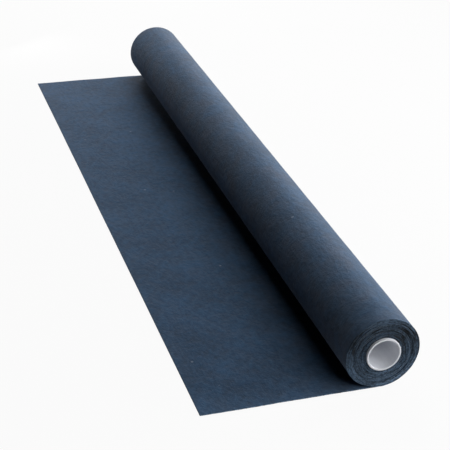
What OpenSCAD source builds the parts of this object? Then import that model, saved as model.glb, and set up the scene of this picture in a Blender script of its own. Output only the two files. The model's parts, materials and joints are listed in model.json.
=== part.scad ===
// Roll of needle-punched geotextile on a core tube. It lies on a level floor, with the free end of the
// fabric unrolled flat beside it.
//
// The roll's axis runs along Y, +Z is up and the floor is z = 0. The origin is the point of the floor under
// the middle of the roll's axis. The free end lies towards -X, and the fabric winds from it under the roll,
// up the +X side and over the top, one turn further in each time round.

/* [Fabric] */
// Width of the fabric, which is the length of the roll
fabric_width = 2000; // [500:10:4500]
// Thickness of one layer of the fabric
fabric_thickness = 2.15; // [1.4:0.05:4]
// Number of turns on the core tube
turns = 23; // [6:1:45]
// Length that lies unrolled, from under the roll's axis to the cut end
unrolled_length = 432; // [40:1:3000]

/* [Core tube] */
// Bore of the core tube
core_bore = 76; // [38:1:152]
// Wall of the core tube
core_wall = 4; // [2:0.5:12]
// How far the core tube stands out of the fabric at each end
core_overhang = 5.5; // [0.5:0.5:30]
// Chamfer on the rims of the core tube
core_chamfer = 0.8; // [0.2:0.1:0.9]

/* [Winding] */
// How far a turn may lie sideways from the outermost one
wander = 1.6; // [0:0.1:4]
// Depth of the groove between the edges of two turns, on the roll's ends
groove_depth = 1.2; // [0.4:0.1:4]
// Width of the slope from the groove up to the flat of a turn's edge
edge_round = 0.5; // [0.2:0.1:0.6]
// How far the roll's weight flattens its underside
sag = 0.4; // [0.1:0.1:1]

/* [Hidden] */
$fn = 96;

core_radius = core_bore / 2 + core_wall;
wound_radius = core_radius + turns * fabric_thickness;

// A two-centre spiral: each half of a turn is a true half circle, half the thickness smaller in radius than
// the last, and its centre is below or above the roll's axis in turn.
centre_offset = fabric_thickness / 4;
axis_height = wound_radius + centre_offset - sag;

// The two turns next to the core tube lie tight, with no groove between them
last_grooved = turns - 2;
// The turned halves reach inside the bore, which is then cut through them all
bore_allowance = fabric_thickness + 1;
clear_of_part = 1;

// Radius of the outer face of turn k, from its own centre, where half is 0 on the +X side and 1 on the -X
// side. Turn 0 is the outermost.
function turn_radius(half, k) = wound_radius - (half / 2 + k) * fabric_thickness;

// How far turn k lies sideways. Turn 0 is in line with the unrolled fabric.
function turn_shift(k) = wander * (0.65 * sin(52 * k) + 0.35 * sin(137 * k));

// Where the flat edge of turn k lies, at the end that side gives as 1 or -1
function edge_level(k, side) = side * fabric_width / 2 + turn_shift(k);

// Where the groove between turn k - 1 and turn k has its bottom
function groove_level(k, side) =
    let (shallower = min(side * turn_shift(k - 1), side * turn_shift(k)))
    side * (fabric_width / 2 + shallower - groove_depth);

// The edges of all the turns at one end, as [radius, level] points from the outside in
function end_outline(half, side) = [
    [turn_radius(half, 0), edge_level(0, side)],
    for (k = [1 : last_grooved]) each [
        [turn_radius(half, k) + edge_round, edge_level(k - 1, side)],
        [turn_radius(half, k), groove_level(k, side)],
        [turn_radius(half, k) - edge_round, edge_level(k, side)]
    ],
    [core_radius - bore_allowance, edge_level(last_grooved, side)]
];

function reversed(list) = [for (i = [len(list) - 1 : -1 : 0]) list[i]];

// Turns a piece from the Z axis onto the roll's axis
module on_roll_axis() {
    translate([0, 0, axis_height]) rotate([90, 0, 0]) children();
}

// The same half of every turn
module wound_half(half) {
    translate([0, (2 * half - 1) * centre_offset, 0])
        rotate_extrude(angle = 180, start = 180 * half - 90)
            polygon(concat(end_outline(half, 1), reversed(end_outline(half, -1))));
}

module wound_fabric() {
    on_roll_axis() for (half = [0, 1]) wound_half(half);
}

// The free end, from its cut edge to the line where the first half turn starts
module unrolled_fabric() {
    translate([-unrolled_length, -fabric_width / 2, 0])
        cube([unrolled_length, fabric_width, fabric_thickness]);
}

module core_bore_cut() {
    on_roll_axis() cylinder(r = core_radius, h = fabric_width + 4 * wander + 2 * clear_of_part, center = true);
}

// The roll rests on the floor, so nothing of it is below
module below_floor() {
    translate([-wound_radius, -fabric_width, -2 * sag])
        cube([2 * wound_radius, 2 * fabric_width, 2 * sag]);
}

module geotextile() {
    color([0.23, 0.3, 0.38]) difference() {
        union() {
            wound_fabric();
            unrolled_fabric();
        }
        core_bore_cut();
        below_floor();
    }
}

module core_tube() {
    half = fabric_width / 2 + core_overhang;
    bore = core_bore / 2;
    color([0.78, 0.79, 0.82]) on_roll_axis() rotate_extrude() polygon([
        [bore, core_chamfer - half],
        [bore + core_chamfer, -half],
        [core_radius - core_chamfer, -half],
        [core_radius, core_chamfer - half],
        [core_radius, half - core_chamfer],
        [core_radius - core_chamfer, half],
        [bore + core_chamfer, half],
        [bore, half - core_chamfer]
    ]);
}

geotextile();
core_tube();
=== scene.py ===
"""Roll of needle-punched geotextile on its core tube, dressed in Blender over its CAD model."""

import json
import math

import bpy
import numpy as np
from mathutils import Euler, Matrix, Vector


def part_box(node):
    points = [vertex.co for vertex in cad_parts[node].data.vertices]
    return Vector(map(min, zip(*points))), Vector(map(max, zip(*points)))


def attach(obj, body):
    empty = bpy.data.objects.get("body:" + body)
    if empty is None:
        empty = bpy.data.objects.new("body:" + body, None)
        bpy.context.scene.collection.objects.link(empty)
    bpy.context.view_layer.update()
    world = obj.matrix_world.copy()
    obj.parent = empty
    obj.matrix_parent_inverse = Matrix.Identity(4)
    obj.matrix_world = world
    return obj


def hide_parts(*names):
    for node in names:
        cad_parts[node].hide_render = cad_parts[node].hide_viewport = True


bl_info = {
    "name": "Geotextile Roll",
    "version": (1, 0, 0),
    "blender": (4, 5, 0),
    "location": "View3D > Sidebar > Geotextile",
    "description": "Builds a roll of geotextile with its free end laid out, on its core tube",
    "category": "Object",
}

MM = 0.001
BODY = "root"
FABRIC_NODE = "geotextile"
CORE_NODE = "core_tube"

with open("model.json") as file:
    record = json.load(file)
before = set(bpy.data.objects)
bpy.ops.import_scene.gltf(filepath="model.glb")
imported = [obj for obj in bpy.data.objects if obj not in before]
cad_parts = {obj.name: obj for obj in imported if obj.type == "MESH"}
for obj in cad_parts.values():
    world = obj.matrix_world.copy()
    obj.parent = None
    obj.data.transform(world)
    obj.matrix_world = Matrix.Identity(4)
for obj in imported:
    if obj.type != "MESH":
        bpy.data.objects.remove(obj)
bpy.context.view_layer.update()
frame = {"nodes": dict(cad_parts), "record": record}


def mount(name):
    """One of the record's mounts."""
    return next(m for m in frame["record"]["mounts"] if m["name"] == name)


# Sizes that come from the CAD model. The roll's axis runs along Y over the origin, and the free end
# lies towards -X.
FABRIC_LOW, FABRIC_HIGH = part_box(FABRIC_NODE)
CORE_LOW, CORE_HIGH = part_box(CORE_NODE)
AXIS_HEIGHT = mount("core_bore")["pos_m"][2]
BORE_RADIUS = mount("core_bore")["dims"]["r_mm"] * MM
CORE_LENGTH = CORE_HIGH.y - CORE_LOW.y
CORE_RADIUS = max(
    math.hypot(vertex.co.x, vertex.co.z - AXIS_HEIGHT)
    for vertex in frame["nodes"][CORE_NODE].data.vertices
)
UNROLLED_LENGTH = -FABRIC_LOW.x


# --------------------------------------------------------------------------------------------------
# Shader nodes
# --------------------------------------------------------------------------------------------------


X_AXIS, Y_AXIS, Z_AXIS = (1.0, 0.0, 0.0), (0.0, 1.0, 0.0), (0.0, 0.0, 1.0)
WHITE = (1.0, 1.0, 1.0, 1.0)

# Between these, noise goes from none to all of what it steers. Most of it lies near the middle.
CLOUDY = (0.36, 0.64)


class Value:
    """A node's output that takes part in Python arithmetic. Each operation adds a Math node."""

    def __init__(self, finish, socket):
        self.finish = finish
        self.socket = socket

    def math(self, operation, *operands):
        """Adds a Math node."""
        inputs = dict(enumerate(operands))
        return self.finish.add("ShaderNodeMath", {"operation": operation}, inputs)

    def __add__(self, other):
        return self.math("ADD", self, other)

    __radd__ = __add__

    def __sub__(self, other):
        return self.math("SUBTRACT", self, other)

    def __rsub__(self, other):
        return self.math("SUBTRACT", other, self)

    def __mul__(self, other):
        return self.math("MULTIPLY", self, other)

    __rmul__ = __mul__

    def __abs__(self):
        return self.math("ABSOLUTE", self)

    def over(self, low, high):
        """0 where the value is at low or under, 1 where it is at high or over, smooth between."""
        settings = {"interpolation_type": "SMOOTHSTEP"}
        inputs = {"Value": self, "From Min": low, "From Max": high}
        return self.finish.add("ShaderNodeMapRange", settings, inputs)


class Finish:
    """The node tree of one material or of the world, emptied for new nodes."""

    def __init__(self, owner):
        owner.use_nodes = True
        self.owner = owner
        self.tree = owner.node_tree
        self.tree.nodes.clear()

    def add(self, kind, settings=None, inputs=None, output=0):
        """Adds a node, makes its settings, fills or links its inputs and gives back an output."""
        node = self.tree.nodes.new(kind)
        for name, setting in (settings or {}).items():
            setattr(node, name, setting)
        for key, given in (inputs or {}).items():
            if isinstance(given, Value):
                self.tree.links.new(given.socket, node.inputs[key])
            else:
                node.inputs[key].default_value = given
        return Value(self, node.outputs[output]) if len(node.outputs) else None

    def noise(self, vector, scale, detail=2.0, roughness=0.5, squeeze=None):
        """Soft noise between 0 and 1, with features about 1 / scale of a metre across.

        A squeeze under 1 draws them out along that axis.
        """
        if squeeze is not None:
            vector = self.vector("MULTIPLY", vector, squeeze)
        inputs = {"Vector": vector, "Scale": scale, "Detail": detail, "Roughness": roughness}
        return self.add("ShaderNodeTexNoise", inputs=inputs)

    def vector(self, operation, *operands, output=0, **named):
        """Adds a Vector Math node."""
        inputs = {**dict(enumerate(operands)), **named}
        return self.add("ShaderNodeVectorMath", {"operation": operation}, inputs, output)

    def along(self, vector, axis):
        """How far a vector reaches along an axis."""
        return self.vector("DOT_PRODUCT", vector, axis, output=1)

    def flecks(self, vector, scale, radius, share_empty):
        """Small sparse spots: at most one in each cell, and none in a share of the cells."""
        cell = {"Vector": vector, "Scale": scale, "Randomness": 1.0}
        distance = self.add("ShaderNodeTexVoronoi", inputs=cell)
        chance = self.along(self.add("ShaderNodeTexVoronoi", inputs=cell, output=1), X_AXIS)
        spot = 1 - distance.over(0.6 * radius * scale, 1.6 * radius * scale)
        return spot * chance.over(share_empty, share_empty + 0.01)

    def mixed(self, share, first, second):
        """The first colour where share is 0 and the second where it is 1."""
        inputs = {0: share, 6: first, 7: second}
        return self.add("ShaderNodeMix", {"data_type": "RGBA"}, inputs, output=2)

    def bumped(self, height, distance):
        """A normal that leans with the slope of height, where 1 is a height of distance."""
        inputs = {"Height": height, "Distance": distance, "Strength": 1.0}
        return self.add("ShaderNodeBump", inputs=inputs)

    def backdrop_rays(self):
        """1 for rays that show the white backdrop: seen, in a mirror or through a clear wall."""
        camera, glossy, transmission = (
            self.add("ShaderNodeLightPath", output=f"Is {kind} Ray")
            for kind in ("Camera", "Glossy", "Transmission")
        )
        return camera.math("MAXIMUM", camera, glossy.math("MAXIMUM", glossy, transmission))

    def surface(self, shader):
        """Gives the material its shader."""
        self.add("ShaderNodeOutputMaterial", inputs={"Surface": shader})
        return self.owner


def shade(colour, factor):
    """An RGBA colour, darker or lighter by a factor."""
    return (*(part * factor for part in colour[:3]), 1.0)


# The finish of the free end goes over into that of the roll between these places along X
ROLL_STARTS = (-0.2, -0.09)
# How far in from the fabric's edges its cut fibres show
CUT_FIBRES = (3.2 * MM, 2.2 * MM)
# The turns' edges grow paler between these radii, towards the outermost turn
PALE_TURNS = (77 * MM, 84 * MM)
# The pattern on the turns' edges, in cells to a metre outwards and to a radius round the axis
EDGE_CELLS = 130
LINE_CELLS_ROUND = 0.55
STREAK_CELLS_ROUND = 4.5


def felt_colour(felt, look, cloth, wound, clumps, strands):
    """The colour of the felt's faces: clouds and strands, with a few stray pale fibres, and painted
    sheen in patches round the roll.
    """
    tone = felt.noise(cloth, 7, detail=3) * 0.3 + clumps * 0.42 + strands * 0.28
    dark, light = shade(look.colour, 1 - look.mottle), shade(look.colour, 1 + look.mottle)
    colour = felt.mixed(tone.over(*CLOUDY), dark, light)
    cool = felt.vector("MULTIPLY", colour, (0.91, 1.0, 1.03))
    warm = felt.vector("MULTIPLY", colour, (1.1, 1.0, 0.97))
    colour = felt.mixed(felt.noise(cloth, 26).over(0.38, 0.62), cool, warm)
    # Painted sheen: round the roll the face is painted paler and greyer than on the free end, in
    # random patches, to stand in for the pale bloom of light at low angles
    patches = felt.noise(cloth, 11, detail=3).over(*CLOUDY)
    painted_sheen_patches = felt.mixed(patches, (1.08, 1.08, 1.06, 1.0), (1.36, 1.10, 1.01, 1.0))
    colour = felt.mixed(wound, colour, felt.vector("MULTIPLY", colour, painted_sheen_patches))
    fleck = felt.flecks(cloth, 12, 3.0 * MM, 0.45) * 0.6
    smudge = felt.flecks(cloth, 5, 26 * MM, 0.55) * clumps.over(0.5, 0.7) * 0.09
    return felt.mixed(fleck + smudge, colour, shade(look.fleck_colour, 1.0))


def cut_edge_colour(felt, look, solid, wound):
    """The colour of the cut edges: streaks of broken fibres, with painted shade lines where turns
    part, and painted light that makes them paler low down.
    """
    from_axis = felt.vector("SUBTRACT", solid, (0.0, 0.0, AXIS_HEIGHT))
    from_axis = felt.vector("MULTIPLY", from_axis, (1.0, 0.0, 1.0))
    radius = felt.vector("LENGTH", from_axis, output=1)
    heading = felt.vector("NORMALIZE", from_axis)
    outwards = felt.vector("SCALE", Y_AXIS, Scale=radius * EDGE_CELLS)
    line_place, streak_place = (
        felt.vector("ADD", felt.vector("SCALE", heading, Scale=cells), outwards)
        for cells in (LINE_CELLS_ROUND, STREAK_CELLS_ROUND)
    )
    parted = felt.noise(line_place, 1.0, roughness=0.6)
    streaks = felt.noise(streak_place, 2.6, detail=3)
    speckle = felt.noise(solid, 230, detail=3, roughness=0.8)
    grain = (speckle * 0.5 + streaks * 0.5).over(0.38, 0.62)
    colour = felt.mixed(grain, shade(look.edge_colour, 0.4), shade(look.edge_colour, 1.6))
    # Painted light and shade: the edges are painted paler towards the floor and darker towards the
    # top, and the painted shade lines between the turns grow darker towards the top
    height = felt.along(solid, Z_AXIS).over(0.4 * AXIS_HEIGHT, 1.6 * AXIS_HEIGHT)
    painted_gap_shade = 1 - abs(parted - 0.5).over(0.015, 0.06)
    colour = felt.mixed(painted_gap_shade * wound * (0.6 + 0.3 * height), colour, shade(look.edge_colour, 0.08))
    painted_light_and_pale_turns = (1.4 - 0.7 * height) * (1 + 0.35 * radius.over(*PALE_TURNS))
    return felt.vector("SCALE", colour, Scale=painted_light_and_pale_turns)


def geotextile_finish(look):
    """Needle-punched felt: cloudy dark slate blue, with clumps and strands of fibres."""
    felt = Finish(bpy.data.materials.new("geotextile_felt"))
    cloth = felt.add("ShaderNodeUVMap", {"uv_map": "cloth"})
    solid = felt.add("ShaderNodeTexCoord", output=3)
    wound = felt.along(solid, X_AXIS).over(*ROLL_STARTS)

    # Round the roll the strands are drawn along the fabric, and on the free end they lie every way
    clumps = felt.noise(cloth, 66, detail=4, roughness=0.68, squeeze=(1.0, 0.65, 1.0))
    drawn = felt.noise(cloth, 170, detail=4, roughness=0.75, squeeze=(0.3, 1.0, 1.0))
    ruffled = felt.noise(cloth, 150, detail=3, roughness=0.7, squeeze=(1.0, 0.6, 1.0))
    strands = drawn * wound + ruffled * (1 - wound)
    fluff = felt.noise(solid, 420, detail=3, roughness=0.75)
    # Winding pulls the felt a little smoother
    relief = (clumps * 0.6 + strands * 0.3 + fluff * 0.1) * (1 - 0.35 * wound)

    half_width = (FABRIC_HIGH.y - FABRIC_LOW.y) / 2
    cut = abs(felt.along(cloth, Y_AXIS)).over(*(half_width - depth for depth in CUT_FIBRES))
    faces = felt_colour(felt, look, cloth, wound, clumps, strands)
    edges = cut_edge_colour(felt, look, solid, wound)
    shader = felt.add(
        "ShaderNodeBsdfPrincipled",
        inputs={
            "Base Color": felt.mixed(cut, faces, edges),
            "Roughness": 0.92,
            "Specular IOR Level": look.gloss,
            "Sheen Weight": look.sheen,
            "Sheen Roughness": 0.5,
            "Sheen Tint": (1.0, 0.97, 0.95, 1.0),
            "Normal": felt.bumped(relief, look.relief),
        },
    )
    return felt.surface(shader)


def core_tube_finish(look):
    """Extruded plastic: smooth pale grey, faintly drawn along its length and a little scuffed."""
    plastic = Finish(bpy.data.materials.new("core_tube_plastic"))
    solid = plastic.add("ShaderNodeTexCoord", output=3)
    drawn = plastic.noise(solid, 420, squeeze=(1.0, 0.02, 1.0))
    clouds = plastic.noise(solid, 18)
    scuffs = plastic.noise(solid, 240, detail=3, roughness=0.7, squeeze=(1.0, 0.3, 1.0))
    scuffs = scuffs.over(0.52, 0.75)
    tone = drawn * 0.3 + clouds * 0.7
    colour = plastic.mixed(tone.over(0.3, 0.7), shade(look.colour, 0.94), shade(look.colour, 1.05))
    colour = plastic.mixed(scuffs * 0.25, colour, shade(look.colour, 0.8))
    shader = plastic.add(
        "ShaderNodeBsdfPrincipled",
        inputs={
            "Base Color": colour,
            "Roughness": 0.42 + 0.18 * scuffs,
            "Specular IOR Level": 0.45,
            "Subsurface Weight": 0.2,
            "Subsurface Radius": (1.0, 1.0, 1.0),
            "Subsurface Scale": 4 * MM,
            "Normal": plastic.bumped(drawn * 0.6 + scuffs * 0.4, 0.06 * MM),
        },
    )
    return plastic.surface(shader)


# --------------------------------------------------------------------------------------------------
# Shape of the fabric
# --------------------------------------------------------------------------------------------------

# Where the winding is loose at one end of the roll: the turn under which a gap opens, the angle of
# the gap's middle and its half width in degrees, how wide it opens as a share of the loosest, and
# over how many of the turns below it closes again. Angles run from the floor up the +X side and
# over the top.
NEAR_GAPS = [
    (1, 165, 75, 0.50, 6),
    (3, 150, 85, 0.90, 9),
    (6, 225, 80, 0.60, 8),
    (9, 140, 80, 0.55, 7),
    (12, 215, 85, 0.75, 8),
    (16, 170, 90, 0.50, 6),
]
FAR_GAPS = [
    (2, 120, 80, 0.80, 7),
    (5, 200, 95, 0.70, 8),
    (9, 150, 85, 0.90, 8),
    (13, 90, 90, 0.60, 7),
    (17, 190, 100, 0.50, 5),
]
# The turns that show from outside have all the rows of points, and the inner ones only a few
FINE_TURNS = 1.15
FINE_POINTS_PER_TURN = 120
INNER_POINTS_PER_TURN = 75
ROWS_BETWEEN_EDGES = 99
POINTS_ALONG_FREE_END = 44
# Points round a cut edge: how deep under the outer face, as a share, and how far back from the edge
EDGE_ROUND = 0.8 * MM
EDGE_DEPTHS = (0.16, 0.5, 0.84)
EDGE_BACKS = (0.28 * MM, 0.0, 0.28 * MM)

# The waves of the free end, the outermost turn and the cut edges: a seed, and the longest wave
RIPPLE = (4, 0.42)
LUMPS = (11, 0.22)
RAGGED_EDGE = (23, 0.04)
# The free end lies flat this near the roll, and over this length before it
HELD_FLAT = 30 * MM
SETTLES_OVER = 120 * MM
# This share of the outermost turn, at its start and end, keeps its even shape
STAYS_EVEN = 0.12
# Under the axis the turns are pressed to this share of the pitch, and bend this softly out of it
PRESSED_PITCH = 0.97
PRESSED_BEND = 0.1 * MM
# The least room between two turns, as a share of the pitch, and between fabric and core tube
TURN_ROOM = 0.02
CORE_ROOM = 0.02 * MM


def soft_waves(along, across, seed, longest):
    """Smooth waves between about -1 and 1, from the longest, in metres, down to a quarter of it."""
    rng = np.random.default_rng(seed)
    count = 9
    total = 0.0
    for _ in range(count):
        heading, start = rng.uniform(0, 2 * math.pi, 2)
        rate = 2 * math.pi / (longest * rng.uniform(0.25, 1.0))
        place = along * math.cos(heading) + across * math.sin(heading)
        total = total + np.sin(rate * place + start)
    return np.tanh(total / math.sqrt(0.7 * count))


def smooth_step(x):
    """0 up to 0, 1 from 1 on, and smooth between."""
    x = np.clip(x, 0, 1)
    return x * x * (3 - 2 * x)


class CrossSection:
    """The closed loop of points round one cross-section: along the outer face and back."""

    def __init__(self, rows, half):
        edge = half - np.array(EDGE_BACKS)
        self.count = len(rows)
        self.across = np.concatenate([rows, edge, rows[::-1], -edge])
        self.depth = np.concatenate([0 * rows, EDGE_DEPTHS, 0 * rows + 1, EDGE_DEPTHS[::-1]])


class Winding:
    """Places the fabric: its free end, then the spiral, whose turn 0 starts under the axis."""

    def __init__(self, fabric):
        self.fabric = fabric
        self.pitch = (FABRIC_HIGH.x - CORE_RADIUS) / fabric.turns
        # The CAD model winds it in half circles about centres a quarter of the pitch off the axis
        self.outer = FABRIC_HIGH.x + self.pitch / 4
        # The trade width, in whole centimetres
        self.width = round((FABRIC_HIGH.y - FABRIC_LOW.y) * 100) / 100

    def slack(self, turn, gaps):
        """How much nearer the axis than in an even spiral a turn lies, because it is loose."""
        angle = 360 * (turn % 1)
        total = np.zeros_like(turn)
        for under, middle, half_width, share, closes_over in gaps:
            below = turn // 1 - under
            opening = np.cos(np.clip((angle - middle) / half_width, -1, 1) * math.pi / 2) ** 2
            closing = np.where(below > 0, np.clip(1 - (below - 1) / closes_over, 0, 1), 0)
            total += self.fabric.loosest_gap * share * opening * closing
        return total

    def layer(self, turn, gaps):
        """Radii of the outer and the inner face. The felt is pressed where turns lie tight."""
        outer = self.outer - self.pitch * turn - self.slack(turn, gaps)
        below = self.outer - self.pitch * (turn + 1) - self.slack(turn + 1, gaps)
        full = self.fabric.thickness
        thickness = np.clip(outer - below - TURN_ROOM * self.pitch, 0.3 * full, full)
        return outer, np.maximum(outer - thickness, CORE_RADIUS + CORE_ROOM)

    def sideways(self, turn, along, across):
        """How far points lie sideways: the turns wander, and the cut edges are a little ragged."""
        fabric = self.fabric
        wave = 0.65 * np.sin(np.radians(52 * turn)) + 0.35 * np.sin(np.radians(137 * turn))
        side = np.sign(across)
        at_edge = smooth_step((np.abs(across) - self.width / 2 + 4 * MM) / (3 * MM))
        ragged = side * at_edge * fabric.ragged * soft_waves(along, side, *RAGGED_EDGE)
        return fabric.wander * wave + ragged

    def free_end(self, at, section):
        """Points of the free end, at distances from its cut edge."""
        at, across, depth = at[:, None], section.across[None], section.depth[None]
        pinch = 1 - 0.75 * (1 - np.clip(at / EDGE_ROUND, 0, 1)) ** 2
        loose = smooth_step((UNROLLED_LENGTH - at - HELD_FLAT) / SETTLES_OVER)
        ripple = self.fabric.wave_height * (0.5 + 0.5 * soft_waves(at, across, *RIPPLE)) * loose
        z = self.fabric.thickness * (0.5 + (depth - 0.5) * pinch) + ripple
        y = across + self.sideways(0 * at, at, across)
        return np.stack(np.broadcast_arrays(at - UNROLLED_LENGTH, y, z), 2)

    def wound(self, turn, section):
        """Points of the wound fabric, at places that are counted in turns."""
        turn, across, depth = turn[:, None], section.across[None], section.depth[None]
        near_outer, near_inner = self.layer(turn, NEAR_GAPS)
        far_outer, far_inner = self.layer(turn, FAR_GAPS)
        far = across / self.width + 0.5
        outer = near_outer * (1 - far) + far_outer * far
        inner = near_inner * (1 - far) + far_inner * far
        # The outermost turn isn't quite round, but is tight to the floor and the turn under it
        loose = smooth_step(turn / STAYS_EVEN) * smooth_step((1 - turn) / STAYS_EVEN)
        length = UNROLLED_LENGTH + 2 * math.pi * self.outer * turn
        lump = self.fabric.lump_height * (0.5 + 0.5 * soft_waves(length, across, *LUMPS)) * loose
        radius = outer + (inner - outer) * depth + lump
        angle = 2 * math.pi * turn
        x = radius * np.sin(angle)
        z = AXIS_HEIGHT - radius * np.cos(angle)
        # Near the floor each turn is pressed flat on the one under it
        lowest = np.round(turn) * PRESSED_PITCH * self.pitch + (outer - inner) * depth
        pressed = (z + lowest + np.sqrt((z - lowest) ** 2 + PRESSED_BEND ** 2)) / 2
        z = np.where(np.cos(angle) > 0.8, np.maximum(pressed, lowest), z)
        y = across + self.sideways(turn, length, across)
        return np.stack(np.broadcast_arrays(x, y, z), 2)


def fabric_rows(half):
    """Rows across the fabric, close at the edges, and the few of them that the inner turns use."""
    edge = np.array([EDGE_ROUND, 3 * MM, 12 * MM])
    middle = np.linspace(25 * MM - half, half - 25 * MM, ROWS_BETWEEN_EDGES)
    rows = np.concatenate([edge - half, middle, half - edge[::-1]])
    last = len(rows) - 1
    return rows, [0, 1, 2, last // 2, last - 2, last - 1, last]


def build_fabric(fabric):
    """Points, faces and UV places of the whole fabric, with its width and length."""
    winding = Winding(fabric)
    rows, few = fabric_rows(winding.width / 2)
    fine = CrossSection(rows, winding.width / 2)
    coarse = CrossSection(rows[few], winding.width / 2)

    cut_edge = np.array([0.0, 0.25, 0.6, 1.0]) * EDGE_ROUND
    spread = np.linspace(12 * MM, UNROLLED_LENGTH, POINTS_ALONG_FREE_END)[:-1]
    outer_turn = np.arange(0, FINE_TURNS, 1 / FINE_POINTS_PER_TURN)
    inner_turns = np.arange(outer_turn[-1], fabric.turns, 1 / INNER_POINTS_PER_TURN)[1:]
    last_turn_end = fabric.turns - 0.001
    parts = [
        (winding.free_end(np.concatenate([cut_edge, [3 * MM], spread]), fine), fine),
        (winding.wound(outer_turn, fine), fine),
        (winding.wound(np.append(inner_turns, last_turn_end), coarse), coarse),
    ]

    # The length along the fabric is measured down the middle of it
    middle = np.concatenate([(p[:, 0] + p[:, s.count * 2 + 2]) / 2 for p, s in parts])
    steps = np.linalg.norm(np.diff(middle[:, [0, 2]], axis=0), axis=1)
    along = np.concatenate([[0.0], np.cumsum(steps)])

    points, places, loops = [], [], []
    for grid, section in parts:
        for ring in grid:
            loops.append((np.arange(len(ring)) + len(points), section))
            places.extend((along[len(loops) - 1], across) for across in section.across)
            points.extend(ring.tolist())
    return points, join_sections(loops, few), places, winding.width, along[-1]


def join_sections(loops, few):
    """Faces between the cross-sections, and over the fabric's two cut ends."""
    faces = []
    for (a, section_a), (b, section_b) in zip(loops, loops[1:]):
        if section_a is section_b:
            faces.extend(np.stack([a, np.roll(a, -1), np.roll(b, -1), b], 1).tolist())
        else:
            faces.extend(change_of_rows(a, section_a.count, b, section_b.count, few))
    first, last = loops[0], loops[-1]
    faces.extend(face[::-1] for face in cut_end(*first))
    faces.extend(cut_end(*last))
    return faces


def change_of_rows(a, count_a, b, count_b, few):
    """Faces from a cross-section with all the rows to one with only a few of them."""
    edge = len(EDGE_DEPTHS)
    faces = []
    for i, (low, high) in enumerate(zip(few, few[1:])):
        faces.append([*a[low:high + 1], b[i + 1], b[i]])
        back_a = 2 * count_a + edge - 1 - high
        back_b = 2 * count_b + edge - 2 - i
        faces.append([*a[back_a:back_a + high - low + 1], b[back_b + 1], b[back_b]])
    first_edge = (count_a - 1, count_b - 1)
    second_edge = (2 * count_a + edge - 1, 2 * count_b + edge - 1)
    for start_a, start_b in (first_edge, second_edge):
        for i in range(edge + 1):
            near, far = (start_a + i) % len(a), (start_b + i) % len(b)
            faces.append([a[near], a[(near + 1) % len(a)], b[(far + 1) % len(b)], b[far]])
    return faces


def cut_end(loop, section):
    """Faces that close the fabric where its length is cut."""
    edge, count = len(EDGE_DEPTHS), section.count
    outer = loop[:count]
    inner = loop[count + edge:2 * count + edge][::-1]
    faces = np.stack([outer[:-1], outer[1:], inner[1:], inner[:-1]], 1).tolist()
    faces.append([outer[-1], *loop[count:count + edge], inner[-1]])
    faces.append([inner[0], *loop[2 * count + edge:], outer[0]])
    return faces


# --------------------------------------------------------------------------------------------------
# Shape of the core tube
# --------------------------------------------------------------------------------------------------

POINTS_ROUND_RIM = 5
STEPS_ROUND_TUBE = 160


def tube_profile(rim):
    """The closed outline of the tube's wall, as radii and places along the axis."""
    half = CORE_LENGTH / 2
    quarter = np.linspace(0, math.pi / 2, POINTS_ROUND_RIM)
    profile = []
    for corner_radius, corner_y, start in (
        (CORE_RADIUS - rim, half - rim, 0.0),
        (BORE_RADIUS + rim, half - rim, math.pi / 2),
        (BORE_RADIUS + rim, rim - half, math.pi),
        (CORE_RADIUS - rim, rim - half, 1.5 * math.pi),
    ):
        for a in quarter + start:
            profile.append((corner_radius + rim * math.cos(a), corner_y + rim * math.sin(a)))
    return profile


def turn_round_axis(profile):
    """Points and faces of a closed profile that is turned round the roll's axis."""
    count = len(profile)
    points, faces = [], []
    for i in range(STEPS_ROUND_TUBE):
        angle = 2 * math.pi * i / STEPS_ROUND_TUBE
        for r, y in profile:
            points.append((r * math.cos(angle), y, AXIS_HEIGHT + r * math.sin(angle)))
        for j in range(count):
            a, b = i * count, (i + 1) % STEPS_ROUND_TUBE * count
            faces.append((a + j, a + (j + 1) % count, b + (j + 1) % count, b + j))
    return points, faces


def mesh_object(name, points, faces, material, uv=None):
    """A smooth-shaded object from points and faces, with a UV map in metres if there is one."""
    mesh = bpy.data.meshes.new(name)
    mesh.from_pydata(points, [], faces)
    mesh.validate()
    if uv is not None:
        layer = mesh.uv_layers.new(name="cloth")
        corners = np.zeros(len(mesh.loops), np.int32)
        mesh.loops.foreach_get("vertex_index", corners)
        layer.data.foreach_set("uv", np.array(uv, np.float32)[corners].ravel())
    mesh.shade_smooth()
    mesh.materials.append(material)
    piece = bpy.data.objects.new(name, mesh)
    bpy.context.scene.collection.objects.link(piece)
    return piece


# --------------------------------------------------------------------------------------------------
# Settings
# --------------------------------------------------------------------------------------------------


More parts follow.
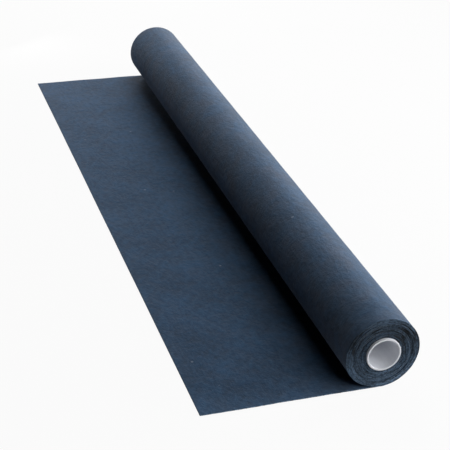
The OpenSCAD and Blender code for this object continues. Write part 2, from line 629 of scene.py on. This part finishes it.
class FabricSettings(bpy.types.PropertyGroup):
    turns: bpy.props.IntProperty(
        name="Turns", description="Turns on the core tube", default=23, min=6
    )
    thickness: bpy.props.FloatProperty(
        name="Thickness",
        description="Thickness of one layer of felt",
        default=2.0 * MM,
        unit="LENGTH",
        precision=4,
    )
    wander: bpy.props.FloatProperty(
        name="Wander",
        description="How far turns lie sideways",
        default=1.6 * MM,
        unit="LENGTH",
        precision=4,
    )
    loosest_gap: bpy.props.FloatProperty(
        name="Loosest gap",
        description="Widest gap between two turns",
        default=1.5 * MM,
        unit="LENGTH",
        precision=4,
    )
    ragged: bpy.props.FloatProperty(
        name="Ragged",
        description="Unevenness of the cut edges",
        default=0.25 * MM,
        unit="LENGTH",
        precision=5,
    )
    lump_height: bpy.props.FloatProperty(
        name="Lump height",
        description="Unevenness of the outermost turn",
        default=0.35 * MM,
        unit="LENGTH",
        precision=5,
    )
    wave_height: bpy.props.FloatProperty(
        name="Wave height",
        description="How far the free end ripples",
        default=1.2 * MM,
        unit="LENGTH",
        precision=4,
    )
    colour: bpy.props.FloatVectorProperty(
        name="Colour",
        description="Colour of the felt",
        default=(0.033, 0.077, 0.148),
        subtype="COLOR",
    )
    edge_colour: bpy.props.FloatVectorProperty(
        name="Edge colour",
        description="Colour of the cut fibres on the edges",
        default=(0.058, 0.094, 0.143),
        subtype="COLOR",
    )
    fleck_colour: bpy.props.FloatVectorProperty(
        name="Fleck colour",
        description="Colour of stray pale fibres",
        default=(0.28, 0.34, 0.43),
        subtype="COLOR",
    )
    mottle: bpy.props.FloatProperty(
        name="Mottle",
        description="How much darker and lighter the felt's clouds are",
        default=0.28,
        subtype="FACTOR",
    )
    relief: bpy.props.FloatProperty(
        name="Relief",
        description="Height of the clumps and fibres",
        default=4.0 * MM,
        unit="LENGTH",
        precision=5,
    )
    sheen: bpy.props.FloatProperty(
        name="Sheen",
        description="Pale bloom where the felt is seen at a low angle",
        default=0.24,
        subtype="FACTOR",
    )
    gloss: bpy.props.FloatProperty(
        name="Gloss", description="Gloss of the plastic fibres", default=0.0, subtype="FACTOR"
    )


class CoreSettings(bpy.types.PropertyGroup):
    colour: bpy.props.FloatVectorProperty(
        name="Colour",
        description="Colour of the core tube",
        default=(0.83, 0.85, 0.90),
        subtype="COLOR",
    )
    rim_radius: bpy.props.FloatProperty(
        name="Rim radius",
        description="Rounding of the tube's rims",
        default=0.8 * MM,
        unit="LENGTH",
        precision=4,
    )


class StageSettings(bpy.types.PropertyGroup):
    floor_colour: bpy.props.FloatVectorProperty(
        name="Floor colour",
        description="Colour of the studio floor",
        default=(0.57, 0.57, 0.57),
        subtype="COLOR",
    )
    key_power: bpy.props.FloatProperty(
        name="Key",
        description="Power of the low softbox on the roll's side",
        default=52.0,
        unit="POWER",
    )
    side_power: bpy.props.FloatProperty(
        name="Side",
        description="Power of the higher softbox on the roll's side",
        default=21.0,
        unit="POWER",
    )
    back_power: bpy.props.FloatProperty(
        name="Back",
        description="Power of the two softboxes beyond the far end",
        default=84.0,
        unit="POWER",
    )
    front_power: bpy.props.FloatProperty(
        name="Front",
        description="Power of the two softboxes before the near end",
        default=24.0,
        unit="POWER",
    )
    far_power: bpy.props.FloatProperty(
        name="Far side",
        description="Power of the small light on the far end's free side",
        default=0.6,
        unit="POWER",
    )
    top_power: bpy.props.FloatProperty(
        name="Top", description="Power of the weak light overhead", default=9.2, unit="POWER"
    )
    fill: bpy.props.FloatProperty(
        name="Fill", description="Strength of the light from all round", default=0.0
    )


class RollSettings(bpy.types.PropertyGroup):
    """All settings of the roll and its stage"""

    fabric: bpy.props.PointerProperty(type=FabricSettings)
    core: bpy.props.PointerProperty(type=CoreSettings)
    stage: bpy.props.PointerProperty(type=StageSettings)


# --------------------------------------------------------------------------------------------------
# Operators
# --------------------------------------------------------------------------------------------------


class LayGeotextile(bpy.types.Operator):
    """Lays the whole fabric as one sheet: wound on the core, with its free end flat on the floor"""

    bl_idname = "geotextile.lay_fabric"
    bl_label = "Lay Geotextile"

    def execute(self, context):
        fabric = context.scene.geotextile_roll.fabric
        points, faces, places, width, length = build_fabric(fabric)
        piece = mesh_object("geotextile_sheet", points, faces, geotextile_finish(fabric), places)
        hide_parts(FABRIC_NODE)
        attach(piece, BODY)
        return {"FINISHED"}


class TurnCoreTube(bpy.types.Operator):
    """Turns the core tube, with rounded rims"""

    bl_idname = "geotextile.turn_core_tube"
    bl_label = "Turn Core Tube"

    def execute(self, context):
        core = context.scene.geotextile_roll.core
        points, faces = turn_round_axis(tube_profile(core.rim_radius))
        piece = mesh_object("core_tube_turned", points, faces, core_tube_finish(core))
        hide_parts(CORE_NODE)
        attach(piece, BODY)
        return {"FINISHED"}


# The softboxes: name, place, what each faces, size, the setting that gives its power, and its share
LAMPS = (
    ("key", (2.23, -1.2, 0.61), (0.0, -0.48, 0.0), (0.9, 1.3), "key_power", 1.0),
    ("side", (1.8, 0.0, 1.47), (0.0, 0.0, 0.0), (0.8, 1.6), "side_power", 1.0),
    ("back", (0.45, 3.5, 0.59), (0.0, 0.8, 0.0), (1.2, 0.8), "back_power", 0.65),
    ("back_side", (0.85, 1.85, 2.13), (0.0, 0.8, 0.0), (1.2, 1.2), "back_power", 0.35),
    ("far_side", (-0.42, 1.42, 0.16), (-0.09, 0.95, 0.1), (0.25, 0.2), "far_power", 1.0),
    ("front", (0.45, -2.75, 1.4), (0.0, -0.8, 0.0), (0.9, 0.9), "front_power", 0.45),
    ("front_side", (1.28, -2.28, 1.47), (0.0, -0.8, 0.0), (0.9, 0.9), "front_power", 0.55),
    ("top", (-0.08, 1.4, 2.35), (0.0, 0.56, 0.0), (0.75, 1.3), "top_power", 1.0),
)
FLOOR_HALF = 9.0
# The floor lies this far under the fabric, so that the two don't fight for one plane
FLOOR_DROP = 0.3 * MM
# How much of the floor shows as plain white backdrop. The rest of it keeps the roll's shadow.
FLOOR_WHITE = 0.94
CAMERA_PLACE = (-1.0985, -3.0316, 1.635)
CAMERA_LENS = 96.62
# Degrees from +Y towards +X, down from level, and round its own line of sight
CAMERA_TURNS = (19.14, 28.353, 2.584)


class LightStage(bpy.types.Operator):
    """Sets the pale floor, the soft studio light and the camera"""

    bl_idname = "geotextile.light_stage"
    bl_label = "Light Stage"

    def execute(self, context):
        stage = context.scene.geotextile_roll.stage
        self.lay_floor(stage)
        self.light_world(context.scene, stage)
        for name, place, target, size, setting, share in LAMPS:
            self.place_lamp(name, place, target, size, getattr(stage, setting) * share)
        self.place_camera(context.scene)
        view = context.scene.view_settings
        view.view_transform = "Standard"
        return {"FINISHED"}

    def lay_floor(self, stage):
        """A wide pale floor that shows as near white and keeps the roll's shadow."""
        far, low = FLOOR_HALF, -FLOOR_DROP
        corners = [(-far, -far, low), (far, -far, low), (far, far, low), (-far, far, low)]
        paint = Finish(bpy.data.materials.new("studio_floor"))
        grain = paint.noise(paint.add("ShaderNodeTexCoord", output=3), 3.0).over(0.3, 0.7)
        dull, bright = (shade(stage.floor_colour, factor) for factor in (0.99, 1.01))
        colour = paint.mixed(grain, dull, bright)
        plain = paint.add("ShaderNodeBsdfDiffuse", inputs={"Color": colour})
        glow = paint.add("ShaderNodeEmission", inputs={"Color": WHITE, "Strength": 1.0})
        share = paint.backdrop_rays() * FLOOR_WHITE
        paint.surface(paint.add("ShaderNodeMixShader", inputs={0: share, 1: plain, 2: glow}))
        floor = mesh_object("studio_floor", corners, [(0, 1, 2, 3)], paint.owner)

    def light_world(self, scene, stage):
        """A white backdrop all round, which gives the roll only the fill light."""
        scene.world = bpy.data.worlds.new("studio")
        air = Finish(scene.world)
        fill = air.add("ShaderNodeBackground", inputs={"Color": WHITE, "Strength": stage.fill})
        white = air.add("ShaderNodeBackground", inputs={"Color": WHITE, "Strength": 1.0})
        both = air.add("ShaderNodeMixShader", inputs={0: air.backdrop_rays(), 1: fill, 2: white})
        air.add("ShaderNodeOutputWorld", inputs={"Surface": both})

    def place_lamp(self, name, place, target, size, power):
        """A softbox that faces its target."""
        lamp = bpy.data.lights.new(name, "AREA")
        lamp.shape = "RECTANGLE"
        lamp.size, lamp.size_y = size
        lamp.energy = power
        light = bpy.data.objects.new(name, lamp)
        light.location = place
        aim = Vector(target) - Vector(place)
        light.rotation_euler = aim.to_track_quat("-Z", "Y").to_euler()
        bpy.context.scene.collection.objects.link(light)

    def place_camera(self, scene):
        """The camera at eye level, before the near end and towards the free end."""
        lens = bpy.data.cameras.new("camera")
        lens.sensor_width = 36.0
        lens.lens = CAMERA_LENS
        lens.clip_end = 100
        camera = bpy.data.objects.new("camera", lens)
        camera.location = CAMERA_PLACE
        heading, pitch, roll = (math.radians(turn) for turn in CAMERA_TURNS)
        look = Euler((math.pi / 2 - pitch, 0.0, -heading)).to_matrix()
        twist = Euler((0.0, 0.0, roll)).to_matrix()
        camera.rotation_euler = (look @ twist).to_euler()
        scene.collection.objects.link(camera)
        scene.camera = camera


class RollPanel(bpy.types.Panel):
    """The sidebar's list of the roll's settings and steps"""

    bl_label = "Geotextile Roll"
    bl_idname = "VIEW3D_PT_geotextile_roll"
    bl_space_type = "VIEW_3D"
    bl_region_type = "UI"
    bl_category = "Geotextile"

    def draw(self, context):
        settings = context.scene.geotextile_roll
        for group, operator in (
            (settings.fabric, LayGeotextile),
            (settings.core, TurnCoreTube),
            (settings.stage, LightStage),
        ):
            box = self.layout.box()
            for name in group.bl_rna.properties.keys():
                if name not in ("rna_type", "name"):
                    box.prop(group, name)
            box.operator(operator.bl_idname)


CLASSES = (
    FabricSettings,
    CoreSettings,
    StageSettings,
    RollSettings,
    LayGeotextile,
    TurnCoreTube,
    LightStage,
    RollPanel,
)


def register():
    """Registers the classes, and gives the scene its settings of the roll."""
    for each in CLASSES:
        bpy.utils.register_class(each)
    bpy.types.Scene.geotextile_roll = bpy.props.PointerProperty(type=RollSettings)


def unregister():
    """Takes back what register did."""
    del bpy.types.Scene.geotextile_roll
    for each in reversed(CLASSES):
        bpy.utils.unregister_class(each)


def main():
    """Builds the roll and its stage."""
    register()
    bpy.ops.geotextile.turn_core_tube()
    bpy.ops.geotextile.lay_fabric()
    bpy.ops.geotextile.light_stage()


if __name__ == "__main__":
    main()
